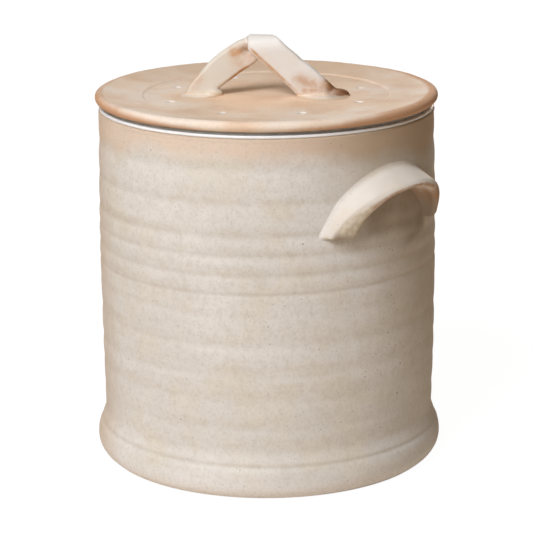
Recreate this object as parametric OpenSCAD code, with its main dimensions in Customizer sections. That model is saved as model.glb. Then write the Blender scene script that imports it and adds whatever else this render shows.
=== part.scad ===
// Countertop compost crock in hand-thrown stoneware, with a plastic liner and a loose lid.
// Millimetres, +Z up. The origin is on the table under the centre of the crock.
// The two lug handles stand on the X axis.

/* [Crock] */
// Outside radius of the thrown wall where it is widest
wall_r = 94.2; // [84:0.1:110]
// Height of the crock's rim above the table
crock_h = 196.8; // [170:0.2:230]
// Thickness of the stoneware wall
wall_t = 7; // [6:0.1:9]
// Thickness of the crock's floor
floor_t = 8; // [5:0.5:12]
// Rounding of the rim's outer edge
rim_round = 1.2; // [0.6:0.1:1.6]
// Rounding between the inside wall and the floor
inner_round = 9; // [4:0.5:10]

/* [Foot] */
// How far the foot's bead stands out from the wall
foot_bead = 3.5; // [1:0.1:8]
// Height of the bead's widest line
foot_bead_z = 10; // [6:0.1:14]
// Height at which the wall starts to flare to the foot
foot_flare_z = 27; // [24:0.5:36]
// Depth of the crease between the flare and the bead
foot_crease = 0.5; // [0:0.05:1.2]
// How far the resting face lies inside the bead
foot_tuck = 8.6; // [4:0.2:14]
// Width of the resting face
foot_face_w = 14; // [8:0.5:20]
// Depth of the recess under the foot
foot_recess = 1.5; // [0.5:0.1:3]

/* [Lug handles] */
// Radius of the arch in which a lug meets the wall
lug_arch_r = 49; // [40:0.5:58]
// Half of the angle that the arch spans
lug_span = 72; // [60:1:78]
// Distance from the rim down to the top of the arch
lug_drop = 20.2; // [12:0.2:40]
// How far the lug stands out in its middle
lug_reach = 14.6; // [8:0.2:20]
// How far the lug's ends stand out
lug_end_reach = 3; // [1.5:0.1:6]
// How far the lug's edge lies below its root line in the middle
lug_fall = 6.9; // [3:0.1:12]
// Thickness of the lug's edge in the middle
lug_edge_t = 3.2; // [2:0.1:6]
// Width of the flattened ends of the lug
lug_end_w = 18; // [8:0.5:20]
// Height of the lug from its level-cut ends to the top of its arch
lug_h = 33.6; // [24:0.2:44]

/* [Liner] */
// Gap between the crock's inside wall and the liner
liner_gap = 1.3; // [0.6:0.1:3]
// Thickness of the liner's wall
liner_t = 1.8; // [1.2:0.1:3]
// How much narrower the liner's foot is than its mouth, on the radius
liner_taper = 5; // [0:0.5:12]
// Gap between the liner and the crock's floor
liner_lift_gap = 3; // [1:0.5:10]
// Thickness of the liner's flange
flange_t = 1.7; // [1:0.1:3]
// Distance from the crock's outside wall in to the flange's edge
flange_inset = 1.8; // [1.8:0.1:4]
// Rounding at the foot of the liner
liner_round = 12; // [5:0.5:16]

/* [Lid] */
// How far the lid's edge stands out past the wall
lid_overhang = 0.3; // [0:0.1:6]
// Thickness of the lid's rounded edge
lid_edge_t = 5.8; // [4:0.1:8]
// Thickness of the lid inside the edge
lid_core_t = 6; // [5:0.1:9]
// How far the middle of the lid's top lies below its edge
lid_dish = 4; // [1:0.1:5]
// Radius of the ring step in the lid's top
lid_step_r = 68; // [60:0.5:72]
// Depth of the ring step
lid_step_d = 0.8; // [0.3:0.1:1.5]
// How far the lid is turned from the line of the lugs, in degrees
lid_turn = 44.3; // [0:0.1:180]
// Number of vent holes
vent_count = 8; // [4:1:12]
// Diameter of a vent hole
vent_d = 4.4; // [3:0.1:7]
// Radius of the ring of vent holes
vent_ring_r = 55.5; // [46:0.5:60]
// How far the ring of vent holes is turned from the strap's line, in degrees
vent_turn = -3; // [-10:0.5:10]
// Gap between the liner's mouth and the lid's locating ring
locate_gap = 2.2; // [1:0.1:4]
// Thickness of the locating ring
locate_t = 6; // [4:0.1:8]
// Height of the locating ring under the lid
locate_h = 10; // [7:0.2:16]

/* [Strap handle] */
// Distance between the middles of the strap's two feet
strap_span = 70; // [50:1:90]
// Height of the strap's crest above the dished top
strap_rise = 33.8; // [24:0.2:50]
// Width of the clay strap
strap_w = 15.3; // [10:0.1:20]
// Thickness of the clay strap
strap_t = 5.6; // [4:0.1:8]
// Distance between the middles of the two folded legs
strap_fold = 10; // [8:0.2:16]
// How far the strap sits to one side of the lid's centre
strap_shift = -3; // [-8:0.5:8]

/* [Gasket and filter] */
// Thickness of the gasket between the lid and the flange
gasket_t = 1.9; // [1:0.1:3]
// Distance from the flange's edge in to the gasket's edge
gasket_inset = 1.2; // [0.3:0.1:2]
// Width of the gasket
gasket_w = 5; // [3:0.1:6]
// Thickness of the charcoal pad
pad_t = 6.6; // [4:0.1:9]
// Gap round the charcoal pad
pad_gap = 1.5; // [0.5:0.1:3]
// Thickness of the ring that holds the pad
retainer_t = 2.4; // [1.6:0.1:4]
// Width of the ring that holds the pad
retainer_w = 6; // [4:0.5:10]
// Radius of the hub in its middle
retainer_hub_r = 9; // [6:0.5:16]
// Width of the spokes between hub and ring
retainer_spoke_w = 3.2; // [2:0.1:5]
// Number of spokes
retainer_spokes = 6; // [3:1:8]

/* [Hidden] */

$fn = 96;
// Clearance between pieces that slide past each other
fit = 0.3;
// How far one clay piece is pressed into another where they are joined
luting = 2.5;
// Steps up the thrown wall's outline
wall_steps = 84;
// Steps round each rounded corner
round_steps = 6;
// Steps round the foot's bead
foot_steps = 9;
// Steps up the flare above it
flare_steps = 24;
// Steps down the slope of the lid's top
slope_steps = 8;
// Sections along a lug, and along each length between two stations of the strap
lug_steps = 40;
strap_steps = 3;

// Throwing rings: share of the crock's height, depth, half width
rings = [[0.916, 0.5, 4.2], [0.825, 0.35, 4], [0.738, 0.5, 3.4], [0.684, 0.4, 3], [0.632, 0.4, 3],
    [0.581, 0.35, 2], [0.523, 0.12, 2.2], [0.44, 0.6, 4], [0.355, 0.45, 3.5], [0.282, 0.3, 3.4],
    [0.202, 0.35, 3.4]];
// Swell of the wall at half its height, and how much narrower it is at its foot than at its rim
wall_swell = 1.5;
wall_lean = 0.4;
// How hollow the flare above the bead is: 1 for a round one, more for a hollow one
flare_hollow = 1.7;
// Half width of the crease at the bead
crease_w = 1.1;
// Share of the lid's dish that lies inside the ring step, and how hollow the slope outside it is
step_share = 0.16;
slope_hollow = 1.7;
// Half width of the ring step
step_w = 0.6;
// Height the lug's ends fall to inside the arch, as a share of their width
lug_end_fall = 0.23;
// Edge break of the lid's locating ring
ring_break = 2;
// Half of the angle through which the flange's outer edge is rounded
lip_arc = 60;
// How far the retainer's spokes run into its hub and ring, and how far they lie inside its faces
spoke_bite = 1;
spoke_inset = 0.3;

// Stations of the strap from its back foot to its front foot: place along the strap as a share of
// half its span, depth as a share of half the fold, height as a share of the rise, lean of the
// section in degrees, width as a share of the strap's
strap_stations = [[-1.01, 0.1, -0.06, 0, 1.08], [-0.91, 0.3, 0.14, 12, 1.03],
    [-0.75, 0.6, 0.315, 22, 1.03], [-0.61, 0.8, 0.46, 29, 1.08], [-0.455, 0.95, 0.59, 32, 1.11],
    [-0.305, 1, 0.7, 34, 1.11], [-0.155, 1, 0.835, 29, 1.04], [-0.015, 0.75, 0.96, 9, 0.98],
    [0.02, 0, 1, 0, 1.02], [0.055, -0.75, 0.97, -5, 1.19], [0.12, -1, 0.87, -4, 1.42],
    [0.22, -1, 0.76, 0, 1.59], [0.33, -1, 0.65, 0, 1.57], [0.48, -1, 0.51, -10, 1.38],
    [0.615, -1, 0.37, -18, 1.27], [0.79, -0.9, 0.18, -10, 1.39], [1, -0.7, -0.06, 0, 1.7]];

// Radii and heights that follow from the sizes above
mouth_r = wall_r - wall_t;
foot_face_r = wall_r + foot_bead - foot_tuck;
crock_floor_z = foot_recess + floor_t;
liner_top_r = mouth_r - liner_gap;
liner_foot_r = liner_top_r - liner_taper;
liner_foot_z = crock_floor_z + liner_lift_gap;
liner_mouth_r = liner_top_r - liner_t;
flange_r = wall_r - flange_inset;
flange_top_z = crock_h + flange_t;
lid_seat_z = flange_top_z + gasket_t;
lid_r = wall_r + lid_overhang;
lid_top_z = lid_seat_z + lid_edge_t;
lid_mid_z = lid_top_z - lid_dish;
lid_under_z = lid_mid_z - lid_core_t;
locate_r = liner_mouth_r - locate_gap;
pocket_r = locate_r - locate_t;
locate_foot_z = lid_under_z - locate_h;
pad_r = pocket_r - pad_gap;
pad_top_z = lid_under_z - fit;
pad_foot_z = pad_top_z - pad_t;
retainer_r = pocket_r - fit;
gasket_out_r = flange_r - gasket_inset;
lug_top_z = crock_h - lug_drop;

stoneware = "#d9d0c3";
pale_clay = "#e6ddd2";
toasted_clay = "#d3b9a2";
white_plastic = "#f4f4f2";
grey_rubber = "#4c4946";
charcoal = "#2a2928";
grey_plastic = "#8d9092";

// Points of an arc, [radius, height] pairs, from angle a0 to a1
function arc(c, r, a0, a1, steps) =
    [for (i = [0:steps]) let (a = a0 + (a1 - a0) * i / steps) [c[0] + r * cos(a), c[1] + r * sin(a)]];

// How much the throwing rings take off the wall at height z
function ring_depth(z) =
    [for (g = rings) g[1] * exp(-pow((z - g[0] * crock_h) / g[2], 2))] * [for (g = rings) 1];

// Outside radius of the wall above the flare
function wall_at(z) =
    let (up = z / crock_h) wall_r - wall_swell * (1 - sin(180 * up)) - wall_lean * (1 - up) - ring_depth(z);

// Outside radius of the flare between the bead and the wall, with the crease where the bead starts
function flare_at(z) =
    let (t = (foot_flare_z - z) / (foot_flare_z - foot_bead_z), crease_z = (foot_flare_z + foot_bead_z) / 2)
    wall_at(foot_flare_z) + (wall_r + foot_bead - wall_at(foot_flare_z)) * pow(sin(90 * t), flare_hollow)
        - foot_crease * exp(-pow((z - crease_z) / crease_w, 2));

module crock_body() {
    rim_z = crock_h - rim_round;
    bead = [for (i = [0:foot_steps]) let (a = 90 * i / foot_steps)
        [foot_face_r + foot_tuck * sin(a), foot_bead_z * (1 - cos(a))]];
    flare = [for (i = [1:flare_steps]) let (z = foot_bead_z + (foot_flare_z - foot_bead_z) * i / flare_steps)
        [flare_at(z), z]];
    wall = [for (i = [1:wall_steps]) let (z = foot_flare_z + (rim_z - foot_flare_z) * i / wall_steps)
        [wall_at(z), z]];
    outer_rim = arc([wall_at(rim_z) - rim_round, rim_z], rim_round, 0, 90, round_steps);
    inner_rim = arc([mouth_r + rim_round, rim_z], rim_round, 90, 180, round_steps);
    corner = arc([mouth_r - inner_round, crock_floor_z + inner_round], inner_round, 0, -90, round_steps);
    recess = [[0, foot_recess], [foot_face_r - foot_face_w - foot_recess, foot_recess],
        [foot_face_r - foot_face_w, 0]];
    color(stoneware)
        rotate_extrude()
            polygon(concat(recess, bead, flare, wall, outer_rim, inner_rim, corner, [[0, crock_floor_z]]));
}

// A value that is mid in the lug's middle and end at its two ends
function along_lug(a, mid, end) = end + (mid - end) * cos(90 * a / lug_span);

// Section of the lug at arch angle a: how far it stands out, and how far it lies inside the arch
function lug_section(a) =
    let (out = along_lug(a, lug_reach, lug_end_reach),
        fall = along_lug(a, lug_fall, lug_end_w * lug_end_fall),
        edge = along_lug(a, lug_edge_t, lug_end_w * (1 - lug_end_fall) - 1.2),
        root = fall + edge)
    [[-luting, 0.5], [-0.7, -0.9], [0.7, 0.2], [out * 0.5, fall * 0.44], [out * 0.88, fall * 0.87],
        [out, fall + edge * 0.3], [out - 0.3, fall + edge * 0.75], [out * 0.8, root],
        [out * 0.45, root + along_lug(a, -0.8, 0.6)], [0.5, root + along_lug(a, 0.6, 1.2)],
        [-luting, root + 1]];

// A lug point on the +X side: arch angle a, distance inside the arch, distance out from the wall
function lug_point(a, inside, out) =
    let (s = (lug_arch_r - inside) * sin(a), turn = s / wall_r * 180 / PI,
        z = lug_top_z - lug_arch_r + (lug_arch_r - inside) * cos(a))
    [(wall_r + out) * cos(turn), (wall_r + out) * sin(turn), z];

// A skin of triangles over rows of points, each row a closed ring, with flat ends
module skin(rows) {
    n = len(rows[0]);
    last = len(rows) - 1;
    points = [for (row = rows) for (p = row) p];
    sides = [for (i = [0:last - 1]) for (j = [0:n - 1]) let (k = (j + 1) % n)
        for (f = [[i * n + j, i * n + k, (i + 1) * n + j], [i * n + k, (i + 1) * n + k, (i + 1) * n + j]]) f];
    ends = [for (j = [1:n - 2]) for (f = [[0, j + 1, j], [last * n, last * n + j, last * n + j + 1]]) f];
    polyhedron(points, concat(sides, ends));
}

module lug() {
    rows = [for (i = [0:lug_steps]) let (a = lug_span * (2 * i / lug_steps - 1))
        [for (p = lug_section(a)) lug_point(a, p[1], p[0])]];
    difference() {
        skin(rows);
        translate([0, -wall_r, 0])
            cube([2 * wall_r, 2 * wall_r, lug_top_z - lug_h]);
    }
}

module lug_right() {
    color(pale_clay)
        lug();
}

module lug_left() {
    color(pale_clay)
        rotate([0, 0, 180])
            lug();
}

module liner_bucket() {
    bend = [liner_foot_r - liner_round, liner_foot_z + liner_round];
    outer = concat(arc(bend, liner_round, -90, 0, round_steps),
        [[liner_top_r, crock_h - rim_round * 2], [liner_top_r, crock_h]]);
    flange = concat([[flange_r - flange_t / 4, crock_h]],
        arc([flange_r - flange_t / 2, crock_h + flange_t / 2], flange_t / 2, -lip_arc, lip_arc, round_steps),
        [[flange_r - flange_t / 4, flange_top_z]]);
    inner = concat([[liner_mouth_r, flange_top_z], [liner_mouth_r, crock_h - rim_round * 2]],
        arc(bend, liner_round - liner_t, 0, -90, round_steps));
    color(white_plastic)
        rotate_extrude()
            polygon(concat([[0, liner_foot_z]], outer, flange, inner, [[0, liner_foot_z + liner_t]]));
}

module lid_disc() {
    half = lid_edge_t / 2;
    step_z = lid_mid_z + lid_dish * step_share;
    ledge_z = step_z + lid_step_d;
    edge = arc([lid_r - half, lid_seat_z + half], half, -90, 90, 2 * round_steps);
    ledge_r = lid_step_r + step_w;
    slope = [for (i = [1:slope_steps]) let (t = 1 - i / slope_steps)
        [ledge_r + (lid_r - half - ledge_r) * t, ledge_z + (lid_top_z - ledge_z) * pow(t, slope_hollow)]];
    top = [[lid_step_r - step_w, step_z], [0, lid_mid_z]];
    under = [[0, lid_under_z], [pocket_r, lid_under_z], [pocket_r, locate_foot_z + ring_break / 2],
        [pocket_r + ring_break / 2, locate_foot_z], [locate_r - ring_break, locate_foot_z],
        [locate_r, locate_foot_z + ring_break], [locate_r, lid_seat_z]];
    color(toasted_clay)
        rotate([0, 0, lid_turn])
            difference() {
                rotate_extrude()
                    polygon(concat(edge, slope, top, under));
                for (i = [0:vent_count - 1])
                    rotate([0, 0, (i + 0.5) * 360 / vent_count + vent_turn])
                        translate([vent_ring_r, 0, lid_under_z - 1])
                            cylinder(h = lid_core_t + lid_dish + 2, d = vent_d);
            }
}

// Catmull-Rom blend of row i of a table towards row i + 1
function row(t, i) = t[max(0, min(len(t) - 1, i))];
function blend(t, i, f) =
    let (a = row(t, i - 1), b = row(t, i), c = row(t, i + 1), d = row(t, i + 2))
    0.5 * (2 * b + (c - a) * f + (2 * a - 5 * b + 4 * c - d) * f * f + (3 * b - a - 3 * c + d) * f * f * f);

function strap_at(u) = blend(strap_stations, floor(u), u - floor(u));
function strap_centre(u) =
    let (s = strap_at(u))
    [strap_shift + s[0] * strap_span / 2, s[1] * strap_fold / 2,
        lid_mid_z + s[2] * (strap_rise - strap_t / 2)];
function strap_across(u) = let (s = strap_at(u)) s[4] * strap_w / 2 * [-cos(s[3]), 0, sin(s[3])];
function strap_inward(u) =
    let (e = 0.05, run = strap_centre(u + e) - strap_centre(u - e), n = cross(run, strap_across(u)))
    n * strap_t / 2 / norm(n);

// Rounded outline of the strap's section, as shares of its half width and half thickness
strap_outline = [[1, 0.3], [0.93, 0.78], [0.78, 1], [0.3, 1.06], [-0.3, 1.06], [-0.78, 1], [-0.93, 0.78],
    [-1, 0.3], [-1, -0.3], [-0.93, -0.78], [-0.78, -1], [-0.3, -1.06], [0.3, -1.06], [0.78, -1],
    [0.93, -0.78], [1, -0.3]];

module lid_strap() {
    last = (len(strap_stations) - 1) * strap_steps;
    rows = [for (i = [0:last]) let (u = min(i / strap_steps, len(strap_stations) - 1.001),
            c = strap_centre(u), w = strap_across(u), n = strap_inward(u))
        [for (p = strap_outline) c + p[0] * w + p[1] * n]];
    color(pale_clay)
        rotate([0, 0, lid_turn])
            skin(rows);
}

// A flat ring from z = 0 up
module ring(outer, inner, h) {
    difference() {
        cylinder(h = h, r = outer);
        translate([0, 0, -1])
            cylinder(h = h + 2, r = inner);
    }
}

module lid_gasket() {
    color(grey_rubber)
        translate([0, 0, flange_top_z])
            ring(gasket_out_r, gasket_out_r - gasket_w, gasket_t);
}

module filter_pad() {
    color(charcoal)
        translate([0, 0, pad_foot_z])
            cylinder(h = pad_t, r = pad_r);
}

module filter_retainer() {
    ring_in_r = retainer_r - retainer_w;
    spoke_l = ring_in_r - retainer_hub_r + 2 * spoke_bite;
    color(grey_plastic)
        translate([0, 0, pad_foot_z - retainer_t]) {
            ring(retainer_r, ring_in_r, retainer_t);
            cylinder(h = retainer_t, r = retainer_hub_r);
            for (i = [0:retainer_spokes - 1])
                rotate([0, 0, i * 360 / retainer_spokes])
                    translate([retainer_hub_r - spoke_bite, -retainer_spoke_w / 2, spoke_inset])
                        cube([spoke_l, retainer_spoke_w, retainer_t - 2 * spoke_inset]);
        }
}

crock_body();
lug_right();
lug_left();
liner_bucket();
lid_disc();
lid_strap();
lid_gasket();
filter_pad();
filter_retainer();
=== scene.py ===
"""Looks of the stoneware compost crock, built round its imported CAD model."""
import math

import bpy
from mathutils import Matrix, Vector


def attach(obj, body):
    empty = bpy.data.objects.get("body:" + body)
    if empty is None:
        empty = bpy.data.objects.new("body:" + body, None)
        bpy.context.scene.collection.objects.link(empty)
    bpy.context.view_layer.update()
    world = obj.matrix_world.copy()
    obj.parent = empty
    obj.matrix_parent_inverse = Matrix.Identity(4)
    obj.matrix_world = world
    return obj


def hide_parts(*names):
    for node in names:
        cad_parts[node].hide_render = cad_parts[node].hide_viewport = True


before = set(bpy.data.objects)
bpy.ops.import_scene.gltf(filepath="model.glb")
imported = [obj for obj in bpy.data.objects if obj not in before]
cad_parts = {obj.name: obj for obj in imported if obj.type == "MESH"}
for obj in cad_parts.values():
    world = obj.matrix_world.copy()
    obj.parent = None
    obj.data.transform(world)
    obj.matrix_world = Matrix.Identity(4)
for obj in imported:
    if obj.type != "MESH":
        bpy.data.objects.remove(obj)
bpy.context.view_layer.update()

MM = 0.001

# Sizes of the part's source, in millimetres
WALL_R, CROCK_H, WALL_T, FLOOR_T = 94.2, 196.8, 7.0, 8.0
WALL_SWELL, WALL_LEAN = 1.5, 0.4
RIM_ROUND, INNER_ROUND = 1.2, 9.0
FOOT_BEAD, FOOT_BEAD_Z, FLARE_Z, CREASE = 3.5, 10.0, 27.0, 0.5
FOOT_TUCK, FOOT_FACE_W, FOOT_RECESS = 8.6, 14.0, 1.5
LINER_GAP, LINER_T, LINER_TAPER, LINER_LIFT, LINER_ROUND = 1.3, 1.8, 5.0, 3.0, 12.0
FLANGE_T, FLANGE_INSET, GASKET_T, GASKET_W, GASKET_INSET = 1.7, 1.8, 1.9, 5.0, 1.2
LID_OVERHANG, LID_EDGE_T, LID_CORE_T, LID_DISH = 0.3, 5.8, 6.0, 4.0
LID_STEP_R, LID_STEP_D = 68.0, 0.8
VENT_D, VENT_RING_R, VENT_TURN = 4.4, 55.5, -3.0
LOCATE_GAP, LOCATE_T, LOCATE_H = 2.2, 6.0, 10.0
LUG_ARCH_R, LUG_SPAN, LUG_DROP = 49.0, 72.0, 20.2
LUG_FALL, LUG_EDGE_T, LUG_END_W = 6.9, 3.2, 18.0
PAD_T, PAD_GAP, RETAINER_T, RETAINER_W = 6.6, 1.5, 2.4, 6.0
HUB_R, SPOKE_W = 9.0, 3.2
FIT = 0.3
FLARE_HOLLOW, CREASE_W = 1.7, 1.1
STEP_SHARE, SLOPE_HOLLOW, STEP_W = 0.16, 1.7, 0.6
LUG_END_FALL, LUG_END_CUT = 0.23, 1.2
VENT_COUNT, SPOKES = 8, 6

# Throwing rings: share of the crock's height, depth, half width. The lower ones are a little softer
# than the source's.
RINGS = [(0.916, 0.5, 4.2), (0.825, 0.35, 4), (0.738, 0.5, 3.4), (0.684, 0.4, 3), (0.632, 0.4, 3),
         (0.581, 0.35, 2), (0.523, 0.12, 2.2), (0.44, 0.45, 4), (0.355, 0.35, 3.5), (0.282, 0.22, 3.4),
         (0.202, 0.26, 3.4)]

# How much darker each ring's groove is painted, from the same list: glaze lying thicker there, and painted
# shade
RING_SHADE_AND_GLAZE = [0.35, 0.5, 0.7, 0.65, 0.75, 1, 0.3, 0.45, 0.45, 0.4, 0.4]
# Height at which painted shade lies in the crease above the foot
CREASE_Z = 19.6

# The lid's turn on the crock, in degrees
LID_TURN = 44.3

# Radii and heights that follow from the sizes above
MOUTH_R = WALL_R - WALL_T
FOOT_FACE_R = WALL_R + FOOT_BEAD - FOOT_TUCK
FLOOR_Z = FOOT_RECESS + FLOOR_T
LINER_TOP_R = MOUTH_R - LINER_GAP
LINER_FOOT_R = LINER_TOP_R - LINER_TAPER
LINER_FOOT_Z = FLOOR_Z + LINER_LIFT
FLANGE_R = WALL_R - FLANGE_INSET
FLANGE_Z = CROCK_H + FLANGE_T
LID_SEAT_Z = FLANGE_Z + GASKET_T
LID_R = WALL_R + LID_OVERHANG
LID_TOP_Z = LID_SEAT_Z + LID_EDGE_T
LID_MID_Z = LID_TOP_Z - LID_DISH
LID_UNDER_Z = LID_MID_Z - LID_CORE_T
LOCATE_R = LINER_TOP_R - LINER_T - LOCATE_GAP
POCKET_R = LOCATE_R - LOCATE_T
LOCATE_FOOT_Z = LID_UNDER_Z - LOCATE_H
PAD_TOP_Z = LID_UNDER_Z - FIT
PAD_FOOT_Z = PAD_TOP_Z - PAD_T


def wall_at(z):
    """Outside radius of the thrown wall at height z."""
    up = z / CROCK_H
    rings = sum(depth * math.exp(-((z - share * CROCK_H) / width) ** 2)
                for share, depth, width in RINGS)
    return WALL_R - WALL_SWELL * (1 - math.sin(math.pi * up)) - WALL_LEAN * (1 - up) - rings


def flare_at(z):
    """Outside radius between the wall and the foot's bead, with the crease at the bead."""
    t = (FLARE_Z - z) / (FLARE_Z - FOOT_BEAD_Z)
    crease = CREASE * math.exp(-((z - (FLARE_Z + FOOT_BEAD_Z) / 2) / CREASE_W) ** 2)
    top = wall_at(FLARE_Z)
    return top + (WALL_R + FOOT_BEAD - top) * math.sin(math.pi / 2 * t) ** FLARE_HOLLOW - crease


def arc(r, z, radius, start, end, steps):
    """Points of an arc in a turned piece's profile, angles in degrees."""
    turns = [math.radians(start + (end - start) * i / steps) for i in range(steps + 1)]
    return [(r + radius * math.cos(a), z + radius * math.sin(a)) for a in turns]


def span(start, end, steps):
    """Even steps from start to end, both included."""
    return [start + (end - start) * i / steps for i in range(steps + 1)]


# Modelling

def deselect():
    bpy.ops.object.select_all(action="DESELECT")


def only(piece):
    """Make a piece the one that the operators act on."""
    deselect()
    piece.select_set(True)
    bpy.context.view_layer.objects.active = piece


def settle(piece):
    """Put a piece's place into its mesh."""
    only(piece)
    bpy.ops.object.transform_apply(location=True, rotation=True, scale=True)
    return piece


def smooth(piece, degrees=40):
    only(piece)
    bpy.ops.object.shade_smooth_by_angle(angle=math.radians(degrees))
    return piece


def drawn(name, profile):
    """One point drawn along a profile of (radius, height) pairs in millimetres, left in edit mode."""
    deselect()
    r, z = profile[0]
    bpy.ops.mesh.primitive_plane_add(size=MM, location=(r * MM, 0, z * MM))
    piece = bpy.context.object
    piece.name = name
    bpy.ops.object.mode_set(mode="EDIT")
    bpy.ops.mesh.merge(type="CENTER")
    for (r0, z0), (r1, z1) in zip(profile, profile[1:]):
        step = ((r1 - r0) * MM, 0, (z1 - z0) * MM)
        bpy.ops.mesh.extrude_vertices_move(TRANSFORM_OT_translate={"value": step})
    bpy.ops.mesh.select_all(action="SELECT")
    return piece


def tidied(piece):
    """Merge what meets, turn every face outwards and leave edit mode."""
    bpy.ops.mesh.select_all(action="SELECT")
    bpy.ops.mesh.remove_doubles(threshold=0.002 * MM)
    bpy.ops.mesh.normals_make_consistent(inside=False)
    bpy.ops.object.mode_set(mode="OBJECT")
    return settle(piece)


def turned(name, profile, steps=192):
    """A turned piece: its profile spun about the pot's axis."""
    piece = drawn(name, profile)
    bpy.ops.mesh.spin(steps=steps, angle=2 * math.pi, center=(0, 0, 0), axis=(0, 0, 1))
    return tidied(piece)


def apply(piece, kind, **settings):
    """Add one modifier with its settings and apply it."""
    only(piece)
    modifier = piece.modifiers.new(kind, kind)
    for key, value in settings.items():
        setattr(modifier, key, value)
    bpy.ops.object.modifier_apply(modifier=modifier.name)


def mark(piece, name, rule):
    """Group vertices by a rule on their place in millimetres: yes or no, or a share from 0 to 1."""
    group = piece.vertex_groups.new(name=name)
    for v in piece.data.vertices:
        share = float(rule(*(v.co / MM)))
        if share > 0:
            group.add([v.index], share, "REPLACE")
    return name


def wobble(piece, group, size, depth, stretch=(1, 1, 1), seed=0, level=0.5):
    """Uneven clay: push a surface in and out by soft noise, size and depth in millimetres."""
    cloud = bpy.data.textures.new("clay", "CLOUDS")
    cloud.noise_scale = size * MM
    cloud.noise_depth = 1
    place = bpy.data.objects.new("noise_place", None)
    place.location = (seed * 0.37, seed * 0.53, seed * 0.71)
    place.scale = stretch
    bpy.context.scene.collection.objects.link(place)
    bpy.context.view_layer.update()
    apply(piece, "DISPLACE", texture=cloud, texture_coords="OBJECT", texture_coords_object=place,
          strength=depth * MM, mid_level=level, vertex_group=group)
    bpy.data.objects.remove(place)


def copy_of(node, name):
    """A merged copy of a CAD node's mesh, as a lump of clay to work on."""
    piece = bpy.data.objects.new(name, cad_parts[node].data.copy())
    bpy.context.scene.collection.objects.link(piece)
    only(piece)
    bpy.ops.object.mode_set(mode="EDIT")
    bpy.ops.mesh.select_all(action="SELECT")
    bpy.ops.mesh.remove_doubles(threshold=0.01 * MM)
    bpy.ops.object.mode_set(mode="OBJECT")
    return piece


def twin(piece, name, degrees):
    """A second piece with its own mesh, turned about the pot's axis."""
    other = bpy.data.objects.new(name, piece.data.copy())
    bpy.context.scene.collection.objects.link(other)
    other.rotation_euler.z = math.radians(degrees)
    return settle(other)


def ease(value, low, high):
    """0 below low, 1 above high and a soft step between."""
    t = min(max((value - low) / (high - low), 0), 1)
    return t * t * (3 - 2 * t)


def near(point, start, end, reach):
    """1 on the line from start to end, falling softly to 0 at the distance reach."""
    p, a, b = Vector(point), Vector(start), Vector(end)
    along = max(0, min(1, (p - a).dot(b - a) / max((b - a).length_squared, 1e-9)))
    return 1 - ease((p - a.lerp(b, along)).length, 0, reach)


def paint(piece, name, rule):
    """Store a value at every vertex, worked out from its place in millimetres."""
    layer = piece.data.attributes.new(name, "FLOAT", "POINT")
    layer.data.foreach_set("value", [rule(*(v.co / MM)) for v in piece.data.vertices])


def paint_edges(piece, name, low, high):
    """Store where a surface turns outwards sharply, since glaze runs thin there: 0 flat, 1 on an edge."""
    mesh = piece.data
    beside = [[] for _ in mesh.vertices]
    for edge in mesh.edges:
        a, b = edge.vertices
        beside[a].append(mesh.vertices[b])
        beside[b].append(mesh.vertices[a])
    turn = [sum((v.co - other.co).normalized().dot(v.normal) for other in others) / len(others)
            for v, others in zip(mesh.vertices, beside)]
    for _ in range(2):
        turn = [(turn[v.index] + sum(turn[other.index] for other in others)) / (1 + len(others))
                for v, others in zip(mesh.vertices, beside)]
    layer = mesh.attributes.new(name, "FLOAT", "POINT")
    layer.data.foreach_set("value", [ease(value, low, high) for value in turn])


def joined(pieces):
    """One piece of several."""
    deselect()
    for piece in pieces:
        piece.select_set(True)
    bpy.context.view_layer.objects.active = pieces[0]
    bpy.ops.object.join()
    return pieces[0]


# The crock: recess, resting ring, bead, flare, wall, rim, inside and floor
rim_z = CROCK_H - RIM_ROUND
profile = [(0, FOOT_RECESS), (FOOT_FACE_R - FOOT_FACE_W - FOOT_RECESS, FOOT_RECESS),
           (FOOT_FACE_R - FOOT_FACE_W, 0)]
profile += [(FOOT_FACE_R + FOOT_TUCK * math.sin(a), FOOT_BEAD_Z * (1 - math.cos(a)))
            for a in map(math.radians, span(0, 90, 12))]
profile += [(flare_at(z), z) for z in span(FOOT_BEAD_Z, FLARE_Z, 22)[1:]]
profile += [(wall_at(z), z) for z in span(FLARE_Z, rim_z, 210)[1:]]
profile += arc(wall_at(rim_z) - RIM_ROUND, rim_z, RIM_ROUND, 0, 90, 5)
profile += arc(MOUTH_R + RIM_ROUND, rim_z, RIM_ROUND, 90, 180, 5)
profile += [(MOUTH_R, z) for z in span(rim_z, FLOOR_Z + INNER_ROUND, 12)[1:-1]]
profile += arc(MOUTH_R - INNER_ROUND, FLOOR_Z + INNER_ROUND, INNER_ROUND, 0, -90, 8)
profile += [(0, FLOOR_Z)]
crock = turned("thrown_crock", profile)

# Middle height of the wall under a lug
LUG_SEAT_Z = 160


def loose_wall(x, y, z):
    """Outside of the wall, but not the seat of a lug, whose own strip of wall lies just under it."""
    r = math.hypot(x, y)
    if r < FOOT_FACE_R + 1 or not 1 < z < CROCK_H - 1.3:
        return 0
    beside = ease(WALL_R * abs(math.asin(y / r)), 44, 60)
    return 1 - (1 - beside) * (1 - ease(abs(z - LUG_SEAT_Z), 28, 38))


outside = mark(crock, "outside", loose_wall)
wobble(crock, outside, 60, 0.7, seed=1, level=0.75)
wobble(crock, outside, 5, 0.22, stretch=(9, 9, 1), seed=2, level=0.6)


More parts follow.
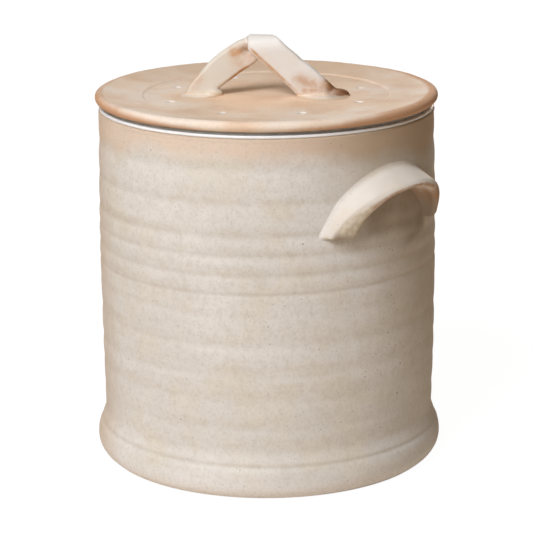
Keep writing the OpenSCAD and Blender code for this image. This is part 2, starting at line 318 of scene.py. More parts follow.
def across_lug(x, y, z):
    """A lug point's angle in its arch, its distance inside it and the section's two edges there."""
    s, rise = WALL_R * math.asin(y / math.hypot(x, y)), z - (CROCK_H - LUG_DROP - LUG_ARCH_R)
    a = math.degrees(math.atan2(s, rise))
    middle = math.cos(math.radians(90 * min(abs(a), LUG_SPAN) / LUG_SPAN))
    fall_end = LUG_END_W * LUG_END_FALL
    edge_end = LUG_END_W * (1 - LUG_END_FALL) - LUG_END_CUT
    fall = fall_end + (LUG_FALL - fall_end) * middle
    edge = edge_end + (LUG_EDGE_T - edge_end) * middle
    return a, LUG_ARCH_R - math.hypot(s, rise), fall + 0.2 * edge, fall + edge


def groove_glaze_and_shade(x, y, z):
    """Darker glaze and painted shade along the bottoms of the throwing rings, and painted shade in the
    crease at the foot; the lines don't run quite level.
    """
    if math.hypot(x, y) < MOUTH_R + 1:
        return 0
    z += 0.7 * math.sin(math.atan2(y, x) + z / 30)
    lines = [tint * math.exp(-((z - share * CROCK_H) / (0.6 * width)) ** 2)
             for (share, _, width), tint in zip(RINGS, RING_SHADE_AND_GLAZE)]
    return max(lines + [0.6 * math.exp(-((z - CREASE_Z) / 1.6) ** 2)])


def painted_lug_shade(x, y, z):
    """Painted shade on the wall under a lug's arch, fading downwards."""
    if math.hypot(x, y) < MOUTH_R + 1 or abs(x) < WALL_R / 2:
        return 0
    a, inside, _, root = across_lug(abs(x), math.copysign(y, x * y), z)
    below = inside - root
    return ease(below, -3, 1) * (1 - ease(below, 8, 32)) * (1 - ease(-a, 30, 62)) * (1 - ease(a, 68, 84))


paint(crock, "groove_glaze_and_shade", groove_glaze_and_shade)
paint(crock, "painted_lug_shade", painted_lug_shade)
smooth(crock)

# The lugs: the CAD form on a strip of wall, melted together so that the clay runs into the wall
LUG_HALF_TURN, STRIP_LOW, STRIP_HIGH, STRIP_T, STRIP_SINK = 38, 138, 181, 3.5, 0.35
strip = [(wall_at(z) - STRIP_SINK, z) for z in span(STRIP_LOW, STRIP_HIGH, 30)]
strip = [(WALL_R - STRIP_T, STRIP_LOW)] + strip + [(WALL_R - STRIP_T, STRIP_HIGH)]
strip = drawn("wall_strip", strip)
bpy.ops.mesh.edge_face_add()
bpy.ops.transform.rotate(value=math.radians(-LUG_HALF_TURN), orient_axis="Z",
                         center_override=(0, 0, 0))
bpy.ops.mesh.spin(steps=40, angle=math.radians(2 * LUG_HALF_TURN), center=(0, 0, 0),
                  axis=(0, 0, 1))
tidied(strip)
lug = joined([copy_of("lug_right", "lug_front_right"), strip])
apply(lug, "REMESH", mode="VOXEL", voxel_size=0.6 * MM)


def above_wall(x, y, z):
    return math.hypot(x, y) - wall_at(z)


def upper_seam(x, y, z):
    return -1 < above_wall(x, y, z) < 3.4 and across_lug(x, y, z)[1] < 5


seam = mark(lug, "seam", lambda x, y, z: -1 < above_wall(x, y, z) < 1.2)
apply(lug, "SMOOTH", factor=0.5, iterations=10, vertex_group=seam)
crown = mark(lug, "crown", upper_seam)
apply(lug, "SMOOTH", factor=0.5, iterations=36, vertex_group=crown)
proud = mark(lug, "proud", lambda x, y, z: above_wall(x, y, z) > 1)
apply(lug, "SMOOTH", factor=0.5, iterations=3, vertex_group=proud)
wobble(lug, proud, 14, 0.5, seed=3)


def lug_edge(x, y, z):
    """The broad cut faces at the lug's two ends, where the glaze is thin."""
    a, inside, top, _ = across_lug(x, y, z)
    start = top - 1.9 * ease(abs(a), 30, 60)
    cut = ease(inside, start - 0.5, start + 0.5) * ease(math.hypot(x, y), WALL_R - 0.6, WALL_R + 0.6)
    return cut * ease(abs(a), 22, 46) * (1 - ease(a, 0, 30) * 0.9)


def lug_pale(x, y, z):
    """The lug's lit top face, with the wall's colour running on to it at the root."""
    inside = across_lug(x, y, z)[1]
    return ease(inside, -1.5, 2) * ease(above_wall(x, y, z), 0.2, 1.4)


def lug_burn(x, y, z):
    """Toasted line along the lower edge, and round the outer edge of the far end."""
    a, inside, top, root = across_lug(x, y, z)
    line = (1 - ease(abs(inside - (top + root) / 2), 0.3, 2.1)) * (1 - ease(abs(a), 30, 52)) * 0.75
    corner = (1 - ease(abs(inside - root + 0.3), 0.1, 1.2)) * ease(-a, 25, 50) * 0.8
    far = ease(a, 12, 36) * (1 - ease(abs(inside - top + 1), 3.5, 9)) * 0.85
    return max(line, corner, far)


def lug_under_shade(x, y, z):
    """Painted shade on the lug's hollow side, its far cut and the very end of its near foot."""
    a, inside, top, root = across_lug(x, y, z)
    far = ease(a, 20, 40) * ease(inside, top - 0.5, top + 1.5)
    heel = ease(-a, 58, 69) * ease(inside, top - 5, top) * 0.85
    return max(ease(inside, root - 0.6, root + 0.8), far, heel)


paint(lug, "lug_edge", lug_edge)
paint(lug, "lug_pale", lug_pale)
paint(lug, "lug_burn", lug_burn)
paint(lug, "lug_under_shade", lug_under_shade)
smooth(lug, 180)
lug_back = twin(lug, "lug_back_left", 180)

# The liner: foot, wall, flange lying on the rim, mouth, inside and floor
half_t = FLANGE_T / 2
base_r, base_z = LINER_FOOT_R - LINER_ROUND, LINER_FOOT_Z + 0.8
profile = [(0, base_z), (base_r - 8, base_z), (base_r - 7, LINER_FOOT_Z)]
profile += arc(base_r, LINER_FOOT_Z + LINER_ROUND, LINER_ROUND, -90, 0, 8)
profile += [(LINER_TOP_R - 1, CROCK_H - 14), (LINER_TOP_R - 0.2, CROCK_H - 13),
            (LINER_TOP_R, CROCK_H - 2), (LINER_TOP_R, CROCK_H)]
profile += arc(FLANGE_R - half_t, CROCK_H + half_t, half_t, -80, 80, 8)
profile += arc(LINER_TOP_R - LINER_T + 0.8, FLANGE_Z - 0.8, 0.8, 90, 180, 4)
profile += [(LINER_TOP_R - LINER_T - 0.1, CROCK_H - 13),
            (LINER_TOP_R - LINER_T - 1, CROCK_H - 14.5)]
profile += arc(base_r, LINER_FOOT_Z + LINER_ROUND, LINER_ROUND - LINER_T, 0, -90, 8)
profile += [(base_r - 7, LINER_FOOT_Z + LINER_T), (base_r - 8, base_z + LINER_T), (0, base_z + LINER_T)]
liner = smooth(turned("moulded_liner", profile))

# The gasket: a flat ring with two soft lips on its edge
LIP_R = 0.5
gasket_r = FLANGE_R - GASKET_INSET
profile = [(gasket_r - GASKET_W, FLANGE_Z)]
profile += arc(gasket_r - LIP_R, FLANGE_Z + LIP_R, LIP_R, -90, 60, 5)
profile += arc(gasket_r - LIP_R, LID_SEAT_Z - LIP_R, LIP_R, -60, 90, 5)
profile += [(gasket_r - GASKET_W, LID_SEAT_Z), (gasket_r - GASKET_W, FLANGE_Z)]
gasket = smooth(turned("lid_seal", profile))

# The lid: underside, locating ring, rounded edge, dish and ring step
half = LID_EDGE_T / 2
step_z = LID_MID_Z + LID_DISH * STEP_SHARE
ledge_z = step_z + LID_STEP_D
ledge_r = LID_STEP_R + STEP_W
profile = [(0, LID_UNDER_Z), (POCKET_R, LID_UNDER_Z), (POCKET_R, LOCATE_FOOT_Z + 1),
           (POCKET_R + 1, LOCATE_FOOT_Z), (LOCATE_R - 2, LOCATE_FOOT_Z),
           (LOCATE_R - 0.6, LOCATE_FOOT_Z + 0.6), (LOCATE_R, LOCATE_FOOT_Z + 2), (LOCATE_R, LID_SEAT_Z)]
profile += arc(LID_R - half, LID_SEAT_Z + half, half, -90, 90, 18)
profile += [(ledge_r + (LID_R - half - ledge_r) * t, ledge_z + (LID_TOP_Z - ledge_z) * t ** SLOPE_HOLLOW)
            for t in span(1, 0, 20)[1:]]
profile += [(ledge_r - 0.15, ledge_z - 0.12), (LID_STEP_R - 0.5, step_z + 0.1),
            (LID_STEP_R - 1.2, step_z)]
profile += [(r, LID_MID_Z + (step_z - LID_MID_Z) * (r / LID_STEP_R))
            for r in span(LID_STEP_R - 4, 0, 16)]
lid = turned("thrown_lid", profile)
upper = mark(lid, "upper", lambda x, y, z: z > LID_MID_Z - 0.5 and math.hypot(x, y) < LID_R - 1)
wobble(lid, upper, 45, 0.5, seed=4, level=0.7)
wobble(lid, upper, 6, 0.25, seed=5, level=0.6)

# The vent holes: length of the cut, the countersink's two radii and height, and the glazed rim round a hole
VENT_CUT, SINK_LOW_R, SINK_HIGH_R, SINK_H, VENT_RIM = 16, 1.6, 4.6, 3, 0.25
vent_step = 360 / VENT_COUNT
vent_turns = [math.radians(LID_TURN + VENT_TURN + vent_step / 2 + vent_step * i) for i in range(VENT_COUNT)]
vent_places = [(VENT_RING_R * math.cos(a), VENT_RING_R * math.sin(a)) for a in vent_turns]
vents = []
for x, y in vent_places:
    deselect()
    bpy.ops.mesh.primitive_cylinder_add(vertices=28, radius=VENT_D / 2 * MM, depth=VENT_CUT * MM,
                                        location=(x * MM, y * MM, LID_MID_Z * MM))
    vents.append(bpy.context.object)
    bpy.ops.mesh.primitive_cone_add(vertices=28, radius1=SINK_LOW_R * MM, radius2=SINK_HIGH_R * MM,
                                    depth=SINK_H * MM, location=(x * MM, y * MM, (LID_MID_Z + 1) * MM))
    vents.append(bpy.context.object)
for vent in vents:
    apply(lid, "BOOLEAN", operation="DIFFERENCE", object=vent, solver="EXACT")
    bpy.data.objects.remove(vent)
glaze = lid.data.attributes.new("vent_glaze", "FLOAT", "FACE")
for face, share in zip(lid.data.polygons, glaze.data):
    x, y, z = face.center / MM
    nearest = min(math.hypot(x - a, y - b) for a, b in vent_places)
    share.value = 1.0 if nearest < VENT_D / 2 + VENT_RIM and z > LID_UNDER_Z + 0.5 else 0.0
smooth(lid, 35)

# The strap: the CAD form and a little clay worked round its two feet
lid_turn = Matrix.Rotation(math.radians(LID_TURN), 3, "Z")

# Clay at the feet: middle along the strap, middle behind it, half length, half width and height
POOLS = ((-38.5, -3, 12, 9, 1.4), (31, -9, 15, 12.5, 1.5))
HEELS = ((-29.5, 1.5, 6.2, 4.5, 4.2), (40, -4, 6.4, 5.5, 4.4))
feet = []
for along, depth, long, wide, height in POOLS + HEELS:
    deselect()
    bpy.ops.mesh.primitive_uv_sphere_add(segments=32, ring_count=16, radius=MM)
    foot = bpy.context.object
    foot.scale = (long, wide, height)
    foot.rotation_euler.z = math.radians(LID_TURN)
    foot.location = lid_turn @ Vector((along, depth, LID_MID_Z)) * MM
    feet.append(settle(foot))
strap = joined([copy_of("lid_strap", "folded_strap")] + feet)
apply(strap, "REMESH", mode="VOXEL", voxel_size=0.38 * MM)
low = mark(strap, "low", lambda x, y, z: 1 - ease(z, LID_MID_Z + 4, LID_MID_Z + 9))
apply(strap, "SMOOTH", factor=0.5, iterations=60, vertex_group=low)
apply(strap, "SMOOTH", factor=0.5, iterations=1)
high = mark(strap, "high", lambda x, y, z: z > LID_MID_Z + 1)
wobble(strap, high, 11, 0.4, seed=6, level=0.6)

# Lower edges of the two legs, in the strap's own line
LEG_L, LEG_R = ((-20.5, 2, 210.6), (-4.4, 4, 223)), ((-9, -8, 230), (17, -8, 205))


def on_strap(x, y, z):
    """A point in the strap's own line: along it, behind it and up."""
    return lid_turn.transposed() @ Vector((x, y, z))


def strap_toast_and_shade(x, y, z):
    """Toasted clay with painted shade: shade in the fold's inner corner, under the legs' lower edges and at
    the front foot's end, with patches of toast at both feet.
    """
    p = on_strap(x, y, z)
    face = (p.x, 0, p.z)
    corner = max(near(p, (-9, 4, 228.5), (-18, 4, 225.5), 5.5),
                 near(p, (-13, 4, 221), (-9, 4, 226), 13) * 0.5)
    edges = max(near(p, *LEG_L, 2.2), near(p, *LEG_R, 1.9) * 0.8)
    patch = max(near(face, (18, 0, 212), (30, 0, 208.5), 8) * 0.55,
                near(face, (21, 0, 206), (36, 0, 205.5), 4) * 0.6)
    end = near(face, (35, 0, 209.5), (44, 0, 205), 8)
    line = near(p, (-46, -4, 206), (-31, -4, 205.5), 2.6) * 0.6
    side = near(face, (-47, 0, 204), (-38, 0, 212), 9) * 0.45
    above = ease(p.z, LID_MID_Z + 0.6, LID_MID_Z + 2)
    return max(corner * ease(p.y, -3, 0), edges, patch, end, line, side) * above


def strap_burn_and_shade(x, y, z):
    """Burnt clay, darkened further as painted shade, in the fold's corner and at the outer end of the front
    foot.
    """
    p = on_strap(x, y, z)
    face = (p.x, 0, p.z)
    corner = near(p, (-9.5, 4, 229), (-12, 4, 227.6), 5) * ease(p.y, -3, 0) * 0.9
    end = max(near(face, (36.5, 0, 207.5), (46, 0, 204), 8),
              near(face, (34, 0, 211.5), (40, 0, 207), 4) * 0.7)
    return max(corner, end * ease(p.z, LID_MID_Z + 0.4, LID_MID_Z + 1.4) * 0.85)


def strap_pool(x, y, z):
    """The thick middle of the glaze pools round the feet."""
    p = on_strap(x, y, z)
    thick = max(1 - ease(math.hypot((p.x - along) / long, (p.y - depth) / wide), 0.5, 1)
                for along, depth, long, wide, _ in POOLS)
    return thick * (1 - ease(p.z, LID_MID_Z + 1, LID_MID_Z + 2.6))


paint(strap, "strap_pool", strap_pool)
paint(strap, "strap_toast_and_shade", strap_toast_and_shade)
paint(strap, "strap_burn_and_shade", strap_burn_and_shade)
paint_edges(strap, "strap_edge", 0.05, 0.13)
smooth(strap, 180)

# The charcoal pad: needled felt with soft edges
PAD_ROUND = 1.8
pad_r = POCKET_R - PAD_GAP
profile = [(r, PAD_FOOT_Z + 0.2) for r in span(0, pad_r - 2, 24)]
profile += arc(pad_r - PAD_ROUND, PAD_FOOT_Z + 2, PAD_ROUND, -80, 0, 5)
profile += arc(pad_r - PAD_ROUND, PAD_TOP_Z - 2, PAD_ROUND, 0, 80, 5)
profile += [(r, PAD_TOP_Z - 0.2) for r in span(pad_r - 2, 0, 24)]
pad = turned("charcoal_pad", profile, 128)
felt = mark(pad, "felt", lambda x, y, z: True)
wobble(pad, felt, 5, 0.7, seed=7, level=0.75)
smooth(pad, 60)

# The retainer: rounded ring, hub and spokes
retainer_r = POCKET_R - FIT
low_z, high_z = PAD_FOOT_Z - RETAINER_T, PAD_FOOT_Z


def rounded_ring(name, inner, outer, edge=0.6):
    """A flat ring with rounded edges, or a disc where inner is 0."""
    ring = arc(outer - edge, low_z + edge, edge, -90, 0, 3)
    ring += arc(outer - edge, high_z - edge, edge, 0, 90, 3)
    if inner:
        ring += arc(inner + edge, high_z - edge, edge, 90, 180, 3)
        ring += arc(inner + edge, low_z + edge, edge, 180, 270, 3)
        ring += ring[:1]
    else:
        ring = [(0, low_z)] + ring + [(0, high_z)]
    return turned(name, ring, 128)


retainer = rounded_ring("filter_retainer_ring", retainer_r - RETAINER_W, retainer_r)
parts = [rounded_ring("hub", 0, HUB_R)]
spoke_in, spoke_out = HUB_R - 1, retainer_r - RETAINER_W + 1
for i in range(SPOKES):
    deselect()
    middle = ((spoke_in + spoke_out) / 2 * MM, 0, (low_z + high_z) / 2 * MM)
    bpy.ops.mesh.primitive_cube_add(size=MM, location=middle)
    spoke = bpy.context.object
    spoke.scale = (spoke_out - spoke_in, SPOKE_W, RETAINER_T - 0.6)
    settle(spoke)
    apply(spoke, "BEVEL", width=0.5 * MM, segments=2)
    parts.append(twin(spoke, "spoke", 360 / SPOKES * i))
    bpy.data.objects.remove(spoke)
for part in parts:
    apply(retainer, "BOOLEAN", operation="UNION", object=part, solver="EXACT")
    bpy.data.objects.remove(part)
smooth(retainer, 35)

for piece, node, body in (
        (crock, "crock_body", "crock"), (lug, "lug_right", "crock"), (lug_back, "lug_left", "crock"),
        (liner, "liner_bucket", "liner"), (lid, "lid_disc", "lid"), (strap, "lid_strap", "lid"),
        (gasket, "lid_gasket", "lid"), (pad, "filter_pad", "filter"),
        (retainer, "filter_retainer", "filter")):
    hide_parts(node)
    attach(piece, body)


# Materials

# Sockets of a Mix node that mixes colours
MIX_SHARE, MIX_UNDER, MIX_OVER, MIX_OUT = 0, 6, 7, 2


def linear(code):
    """An sRGB hex colour as linear light, with full alpha."""
    shares = [int(code[i:i + 2], 16) / 255 for i in (1, 3, 5)]
    return [c / 12.92 if c <= 0.04045 else ((c + 0.055) / 1.055) ** 2.4 for c in shares] + [1]


def add(owner, kind, sockets=(), **settings):
    """Add a node with its settings; each socket takes another node's output, a number or a hex colour."""
    tree = owner.node_tree
    node = tree.nodes.new("ShaderNode" + kind)
    for key, value in settings.items():
        setattr(node, key, value)
    for name, value in dict(sockets).items():
        if isinstance(value, bpy.types.NodeSocket):
            tree.links.new(value, node.inputs[name])
        else:
            node.inputs[name].default_value = linear(value) if isinstance(value, str) else value
    return node.outputs


def new_material(name):
    material = bpy.data.materials.new(name)
    material.use_nodes = True
    material.node_tree.nodes.clear()
    return material


def placed(material):
    """Object coordinates in millimetres."""
    place = add(material, "TexCoord")["Object"]
    return add(material, "VectorMath", {0: place, 1: (1 / MM, 1 / MM, 1 / MM)}, operation="MULTIPLY")[0]


def clouds(material, mm, size, detail=2, stretch=(1, 1, 1), shift=0):
    """Soft patches about size millimetres across."""
    place = add(material, "Mapping", {"Vector": mm, "Scale": stretch, "Location": (shift, shift, shift)})[0]
    sockets = {"Vector": place, "Scale": 1 / size, "Detail": detail, "Roughness": 0.55}
    return add(material, "TexNoise", sockets)["Fac"]


def laid(material, under, over, pattern, start, full, most=1.0):
    """Lay a colour over another where a pattern goes from start to full, up to the share most."""
    sockets = {"Value": pattern, "From Min": start, "From Max": full, "To Max": most}
    share = add(material, "MapRange", sockets, interpolation_type="SMOOTHSTEP")[0]
    sockets = {MIX_SHARE: share, MIX_UNDER: under, MIX_OVER: over}
    return add(material, "Mix", sockets, data_type="RGBA")[MIX_OUT]


def ragged(material, mm, edge, size, reach, shift=0):
    """A value whose borders wander by reach, as glaze does."""
    drift = clouds(material, mm, size, 3, shift=shift)
    return add(material, "Math", {0: drift, 1: reach, 2: edge}, operation="MULTIPLY_ADD")[0]


def speckled(material, colour, speck, mm, gap, reach, share=0.5, shift=0):
    """Iron specks: one in each cell about gap millimetres wide, up to reach millimetres in radius."""
    place = add(material, "Mapping", {"Vector": mm, "Location": (shift, shift, shift)})[0]
    cells = add(material, "TexVoronoi", {"Vector": place, "Scale": 1 / gap, "Randomness": 1})
    size = add(material, "MapRange", {"Value": add(material, "SeparateColor", {0: cells["Color"]})[0],
                                      "From Min": 1 - share, "From Max": 1, "To Max": reach / gap})[0]
    inside = add(material, "Math", {0: size, 1: cells["Distance"]}, operation="SUBTRACT")[0]
    return laid(material, colour, speck, inside, 0, reach / gap * 0.6)


def patchy(material, mm, name, size=3, shift=8):
    """A painted value broken up by soft noise."""
    noise = clouds(material, mm, size, 3, shift=shift)
    breaks = add(material, "MapRange", {"Value": noise, "From Min": 0.3, "From Max": 0.65, "To Min": 0.6},
                 interpolation_type="SMOOTHSTEP")[0]
    painted = add(material, "Attribute", attribute_name=name, attribute_type="GEOMETRY")["Fac"]
    return add(material, "Math", {0: painted, 1: breaks}, operation="MULTIPLY")[0]


def finish(material, colour, roughness, relief, depth, **shader):
    """The shader with its colour, roughness and fine relief, depth in millimetres."""
    bump = add(material, "Bump", {"Height": relief, "Strength": 1, "Distance": depth * MM})[0]
    sockets = {"Base Color": colour, "Normal": bump, "Roughness": roughness, **shader}
    add(material, "OutputMaterial", {"Surface": add(material, "BsdfPrincipled", sockets)[0]})
    return material


# Share of the way from the photograph's left side to its right, in the row's frame, per millimetre
ACROSS = (0.0072, 0.007, 0)
# The same for the way from the photograph's front to its back
BEHIND = (-0.007, 0.0072, 0)


def glazed_wall(material):
    """Colour of the crock's satin glaze, shared by the wall and the clay of the lugs that runs into it,
    with painted shade and light laid in by side and height.
    """
    mm = placed(material)
    z = add(material, "SeparateXYZ", {0: mm})[2]
    side = add(material, "VectorMath", {0: mm, 1: ACROSS}, operation="DOT_PRODUCT")["Value"]
    colour = laid(material, "#E2DACF", "#DBD3C7", clouds(material, mm, 60), 0.4, 0.6)
    colour = laid(material, colour, "#DCD2BF", clouds(material, mm, 28, shift=40), 0.45, 0.7)
    colour = laid(material, colour, "#CABDAB", clouds(material, mm, 4.5, 3, shift=60), 0.4, 0.7, 0.36)
    streaks = clouds(material, mm, 14, stretch=(0.25, 0.25, 2))
    colour = laid(material, colour, "#E3DDD4", streaks, 0.35, 0.65, 0.35)
    # Darker in the ring grooves and the foot's crease: thicker glaze, and painted shade
    groove_darkening = patchy(material, mm, "groove_glaze_and_shade", 14)
    colour = laid(material, colour, "#B9AA95", groove_darkening, 0, 1, 0.4)
    # Paler towards the foot: glaze gathering pale there, and painted light standing in for light from below
    foot = ragged(material, mm, z, 20, 4, shift=51)
    colour = laid(material, colour, "#F3EEE8", foot, 17, 4, 0.9)
    # Peach blush at the rim, painted browner towards the right as shade; its lower border reaches further
    # down at the right and at the far left, also as painted shade
    blush_and_side_shade = laid(material, "#E2CAB2", "#C9A586", side, -0.3, 0.9)
    border = add(material, "MapRange", {"Value": side, "From Min": -0.2, "From Max": 0.9, "To Max": 8})[0]
    left = add(material, "MapRange", {"Value": side, "From Min": -0.55, "From Max": -0.9, "To Max": 9})[0]
    border = add(material, "Math", {0: border, 1: left}, operation="ADD")[0]
    wander = ragged(material, mm, z, 30, 26, shift=7)
    border = add(material, "Math", {0: border, 1: wander}, operation="ADD")[0]
    colour = laid(material, colour, blush_and_side_shade, border, 196, 208, 0.9)
    # Painted shade: a warmer, darker tone along the wall's left edge
    colour = laid(material, colour, "#D3B494", side, -0.8, -0.96, 0.45)
    # Browner towards the upper right: toasted clay under thin glaze, deepened as painted shade
    high = add(material, "Math", {0: z, 1: 0.004, 2: side}, operation="MULTIPLY_ADD")[0]
    high = ragged(material, mm, high, 35, 0.3, shift=21)
    colour = laid(material, colour, "#B09A7C", high, 1.05, 1.5, 0.5)
    # Painted shade on the rim's top edge, under the liner's flange
    colour = laid(material, colour, "#B39678", z, CROCK_H - 1.2, CROCK_H - 0.3, 0.5)
    # Painted shade on the wall under each lug's arch
    colour = laid(material, colour, "#8C765D", patchy(material, mm, "painted_lug_shade", 20), 0, 1, 0.7)
    colour = laid(material, colour, "#BCAB96", clouds(material, mm, 1.5, 3, shift=17), 0.45, 0.7, 0.26)
    # Specks painted darker towards the right, as painted shade
    speck = laid(material, "#A79583", "#68553F", side, -0.1, 0.7)
    colour = speckled(material, colour, speck, mm, 5.5, 0.7, 0.5)
    speck = laid(material, "#B8A793", "#806E58", side, -0.1, 0.7)
    colour = speckled(material, colour, speck, mm, 2.4, 0.48, 0.5, shift=31)
    return mm, colour


def satin_stoneware():
    # Wheel-thrown stoneware in a satin cream glaze: soft broad sheen, iron specks, peach blush at the rim,
    # with painted shade on the right side, in the grooves and under the lugs
    material = new_material("satin glazed stoneware, thrown")
    mm, colour = glazed_wall(material)
    rough = add(material, "MapRange", {"Value": clouds(material, mm, 20, shift=3), "From Min": 0.3,
                                       "From Max": 0.7, "To Min": 0.58, "To Max": 0.72})[0]
    return finish(material, colour, rough, clouds(material, mm, 1.8, 3), 0.07)


def pressed_lug():
    # Hand-pressed stoneware lugs under the same glaze, paler where it lies thick; the seam takes the wall's
    # colour, and the hollow side, far cut and near heel carry painted shade
    material = new_material("satin glazed stoneware, pressed on")
    mm, colour = glazed_wall(material)
    pale = laid(material, "#E0D6C8", "#DCCFBE", clouds(material, mm, 22, shift=11), 0.4, 0.65)
    pale = speckled(material, pale, "#A08E7C", mm, 6, 0.5, 0.5)
    thick = add(material, "Attribute", attribute_name="lug_pale", attribute_type="GEOMETRY")["Fac"]
    colour = laid(material, colour, pale, ragged(material, mm, thick, 8, 0.4), 0.25, 1.1)
    bare = laid(material, "#D0BFA6", "#E2D4BE", clouds(material, mm, 2.5, 3), 0.35, 0.65)
    cut = add(material, "Attribute", attribute_name="lug_edge", attribute_type="GEOMETRY")["Fac"]
    colour = laid(material, colour, bare, cut, 0, 1)
    # Painted shade under the lug, on its far cut and at its near heel
    under = add(material, "Attribute", attribute_name="lug_under_shade", attribute_type="GEOMETRY")["Fac"]
    colour = laid(material, colour, "#948069", under, 0, 1, 0.85)
    colour = laid(material, colour, "#B78358", patchy(material, mm, "lug_burn"), 0, 1, 0.9)
    return finish(material, colour, 0.62, clouds(material, mm, 1.8, 3), 0.07)


def toasted_lid():
    # Thin satin glaze over toasted stoneware: pale peach, warmer in the middle, tan at the two ends of the
    # edge, and painted shade in tan towards the back
    material = new_material("toasted stoneware, thrown")
    mm = placed(material)
    z = add(material, "SeparateXYZ", {0: mm})[2]
    flat = add(material, "VectorMath", {0: mm, 1: (1, 1, 0)}, operation="MULTIPLY")[0]
    radius = add(material, "VectorMath", {0: flat}, operation="LENGTH")["Value"]
    side = add(material, "VectorMath", {0: mm, 1: ACROSS}, operation="DOT_PRODUCT")["Value"]
    colour = laid(material, "#F4E1CC", "#EED3B7", clouds(material, mm, 40), 0.38, 0.62)
    colour = laid(material, colour, "#F1E0CE", clouds(material, mm, 24, shift=20), 0.5, 0.75, 0.8)
    centre = ragged(material, mm, radius, 26, -70, shift=13)
    colour = laid(material, colour, "#EEC49C", centre, 30, -10, 0.6)
    colour = laid(material, colour, "#DCB28B", clouds(material, mm, 24, 3, shift=36), 0.42, 0.75, 0.5)
    # Painted shade: darker tan towards the lid's back
    back = add(material, "VectorMath", {0: mm, 1: BEHIND}, operation="DOT_PRODUCT")["Value"]
    colour = laid(material, colour, "#D2B08E", ragged(material, mm, back, 24, 0.4, shift=27), 0.3, 1.2, 0.8)
    ends = add(material, "Math", {0: side, 1: 0.12}, operation="ADD")[0]
    ends = add(material, "Math", {0: ends}, operation="ABSOLUTE")[0]
    edge = add(material, "MapRange", {"Value": radius, "From Min": 88, "From Max": 91, "To Max": 4})[0]
    wander = ragged(material, mm, z, 12, 2, shift=5)
    edge = add(material, "Math", {0: edge, 1: wander}, operation="SUBTRACT")[0]
    edge = add(material, "Math", {0: ends, 1: 9, 2: edge}, operation="MULTIPLY_ADD")[0]
    colour = laid(material, colour, "#CB9468", edge, -198, -194, 0.85)
    colour = laid(material, colour, "#BC9D80", clouds(material, mm, 1.5, 3, shift=17), 0.45, 0.7, 0.12)
    colour = speckled(material, colour, "#A98B6D", mm, 6, 0.65, 0.5)
    vent = add(material, "Attribute", attribute_name="vent_glaze", attribute_type="GEOMETRY")["Fac"]
    colour = laid(material, colour, "#F6EEE2", vent, 0, 1, 0.8)
    return finish(material, colour, 0.7, clouds(material, mm, 1.8, 3), 0.07)


def folded_clay():
    # Folded strip of stoneware under a pale glaze, cream where it pools at the feet, toasted brown with
    # painted shade at the fold and at the front foot
    material = new_material("pale glazed stoneware, folded strip")
    mm = placed(material)
    z = add(material, "SeparateXYZ", {0: mm})[2]
    side = add(material, "VectorMath", {0: mm, 1: ACROSS}, operation="DOT_PRODUCT")["Value"]
    colour = laid(material, "#EDE6DC", "#EBE1D4", clouds(material, mm, 18), 0.4, 0.65)
    # Painted shade on the strap's left part, whose seen face is turned from the light
    colour = laid(material, colour, "#DED1BD", ragged(material, mm, side, 10, 0.1), -0.02, -0.14, 0.85)
    colour = laid(material, colour, "#CFB08D", patchy(material, mm, "strap_edge", 6), 0, 1, 0.8)
    low = ragged(material, mm, z, 4, 1.2)
    colour = laid(material, colour, "#DDBE9E", low, LID_MID_Z + 3.4, LID_MID_Z + 2)
    colour = laid(material, colour, "#F2E3D0", patchy(material, mm, "strap_pool", 5), 0.1, 0.9)
    # Toast with painted shade in the fold's corner, under the legs' lower edges and at the front foot's end
    colour = laid(material, colour, "#C9935F", patchy(material, mm, "strap_toast_and_shade", 5), 0, 0.9)
    # Burnt clay darkened further as painted shade in the fold's corner and at the front foot's end
    colour = laid(material, colour, "#74492A", patchy(material, mm, "strap_burn_and_shade", 5), 0, 0.9)
    colour = speckled(material, colour, "#A8937C", mm, 6, 0.45, 0.5)
    return finish(material, colour, 0.6, clouds(material, mm, 1.8, 3), 0.06)


def moulded_liner():
    # Injection-moulded polypropylene: clean white with a low even gloss
    material = new_material("white polypropylene, moulded")
    mm = placed(material)
    colour = laid(material, "#F6F5F1", "#F1F0EC", clouds(material, mm, 30), 0.4, 0.6)
    return finish(material, colour, 0.32, clouds(material, mm, 0.8), 0.02, IOR=1.49)


def soft_seal():
    # Moulded silicone rubber: grey, dull, faintly dusty
    material = new_material("grey silicone rubber, moulded")
    mm = placed(material)
    colour = laid(material, "#A6A5A0", "#999892", clouds(material, mm, 6), 0.35, 0.65)
    return finish(material, colour, 0.62, clouds(material, mm, 0.6), 0.03, IOR=1.41)


def needled_felt():
    # Needled polyester felt loaded with activated charcoal: black, matte, with grey fibres about 0.1 mm
    # thick, drawn at 0.7 mm so that they show
    material = new_material("charcoal felt, needled")
    mm = placed(material)
    along = clouds(material, mm, 0.7, 4, stretch=(1, 0.3, 1))
    across = clouds(material, mm, 0.7, 4, stretch=(0.3, 1, 1), shift=9)
    tangle = add(material, "Math", {0: along, 1: across}, operation="MAXIMUM")[0]
    colour = laid(material, "#26262A", "#4A4A4D", tangle, 0.5, 0.75)
    return finish(material, colour, 0.95, tangle, 0.3, **{"Sheen Weight": 0.3, "Sheen Roughness": 0.6})


def moulded_retainer():
    # Injection-moulded ABS: mid grey with a fine spark-eroded texture
    material = new_material("grey ABS, moulded")
    mm = placed(material)
    colour = laid(material, "#8D8F90", "#858788", clouds(material, mm, 12), 0.4, 0.6)
    return finish(material, colour, 0.48, clouds(material, mm, 0.5), 0.03, IOR=1.54)


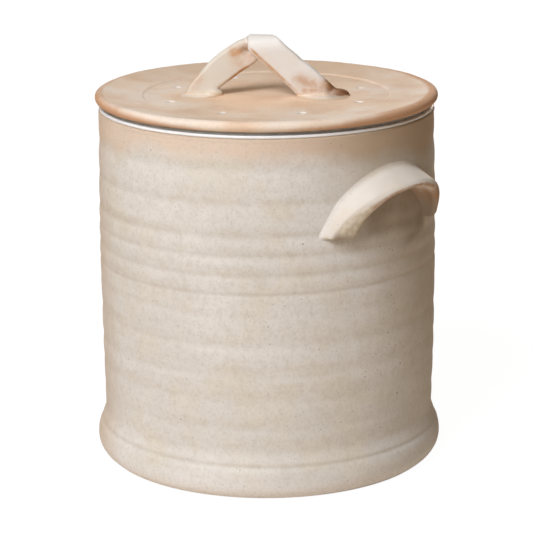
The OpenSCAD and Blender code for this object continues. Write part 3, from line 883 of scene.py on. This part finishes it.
lug_finish = pressed_lug()
for piece, material, slot in (
        (crock, satin_stoneware(), "stoneware"), (lug, lug_finish, "pale_clay"),
        (lug_back, lug_finish, "pale_clay"), (lid, toasted_lid(), "toasted_clay"),
        (strap, folded_clay(), "pale_clay"), (liner, moulded_liner(), "white_plastic"),
        (gasket, soft_seal(), "grey_rubber"), (pad, needled_felt(), "charcoal_felt"),
        (retainer, moulded_retainer(), "grey_plastic")):
    piece.data.materials.clear()
    piece.data.materials.append(material)

# Camera: the photograph's place, seen along +Y and turned with the row
scene = bpy.context.scene
camera = bpy.data.objects.new("camera", bpy.data.cameras.new("camera"))
scene.collection.objects.link(camera)
PICTURE_PX, SENSOR_MM, FOCAL_PX = 533, 36, 2211.2
PITCH, ROLL, VIEW_TURN = math.radians(15.21), math.radians(0.481), math.radians(LID_TURN)
ahead = Vector((0, math.cos(PITCH), -math.sin(PITCH)))
right = Vector((1, 0, 0))
down = ahead.cross(right)
level = right * math.cos(ROLL) + down * math.sin(ROLL)
drop = down * math.cos(ROLL) - right * math.sin(ROLL)
stand = Vector((-0.0007, -1.203075, 0.431344))
turn = Matrix.Rotation(VIEW_TURN, 3, "Z")
axes = Matrix((turn @ level, turn @ -drop, turn @ -ahead)).transposed()
camera.matrix_world = Matrix.Translation(turn @ stand) @ axes.to_4x4()
camera.data.sensor_width = SENSOR_MM
camera.data.lens = SENSOR_MM * FOCAL_PX / PICTURE_PX
scene.camera = camera
scene.view_settings.view_transform = "Standard"

# Studio: a large soft key from the left front, weak lamps overhead and behind, even light all round, and
# a white floor that is clear from below. Lamps aim at AIM_Z metres above the floor.
AIM_Z, FLOOR_SIZE, FLOOR_DROP = 0.1, 8, 0.1 * MM


def softbox(name, azimuth, elevation, distance, size, watts, colour):
    """An area lamp that looks at the pot; azimuth is measured from the camera, positive to its left."""
    lamp = bpy.data.lights.new(name, "AREA")
    lamp.shape, lamp.size, lamp.energy, lamp.color = "DISK", size, watts, linear(colour)[:3]
    holder = bpy.data.objects.new(name, lamp)
    scene.collection.objects.link(holder)
    a, e = math.radians(azimuth), math.radians(elevation)
    place = turn @ Vector((-math.sin(a) * math.cos(e), -math.cos(a) * math.cos(e), math.sin(e))) * distance
    place.z += AIM_Z
    holder.location = place
    holder.rotation_euler = (Vector((0, 0, AIM_Z)) - place).to_track_quat("-Z", "Y").to_euler()


softbox("key", 31, 43, 4, 1.8, 158, "#EEF4FF")
softbox("overhead", 60, 80, 3, 2, 10, "#FFF6EA")
softbox("back", -168, 7, 4, 1.8, 40, "#FFF6EA")

world = bpy.data.worlds.new("studio")
scene.world = world
world.use_nodes = True
world.node_tree.nodes.clear()
seen = add(world, "LightPath")["Is Camera Ray"]
room = add(world, "Background", {"Color": "#FFE4C0", "Strength": 0.1})[0]
white = add(world, "Background", {"Color": "#FFFFFF", "Strength": 1})[0]
add(world, "OutputWorld", {"Surface": add(world, "MixShader", {0: seen, 1: room, 2: white})[0]})

deselect()
bpy.ops.mesh.primitive_plane_add(size=FLOOR_SIZE, location=(0, 0, -FLOOR_DROP))
floor = bpy.context.object
floor.name = "studio_floor"
paper = new_material("white studio paper")
seen = add(paper, "LightPath")["Is Camera Ray"]
bounce = add(paper, "BsdfDiffuse", {"Color": (0.80, 0.69, 0.57, 1)})[0]
matte = add(paper, "BsdfDiffuse", {"Color": (0.1, 0.1, 0.1, 1)})[0]
glow = add(paper, "Emission", {"Color": (0.97, 0.97, 0.97, 1), "Strength": 1})[0]
shown = add(paper, "AddShader", {0: matte, 1: glow})[0]
top = add(paper, "MixShader", {0: seen, 1: bounce, 2: shown})[0]
below = add(paper, "NewGeometry")["Backfacing"]
clear = add(paper, "BsdfTransparent")[0]
add(paper, "OutputMaterial", {"Surface": add(paper, "MixShader", {0: below, 1: top, 2: clear})[0]})
floor.data.materials.append(paper)
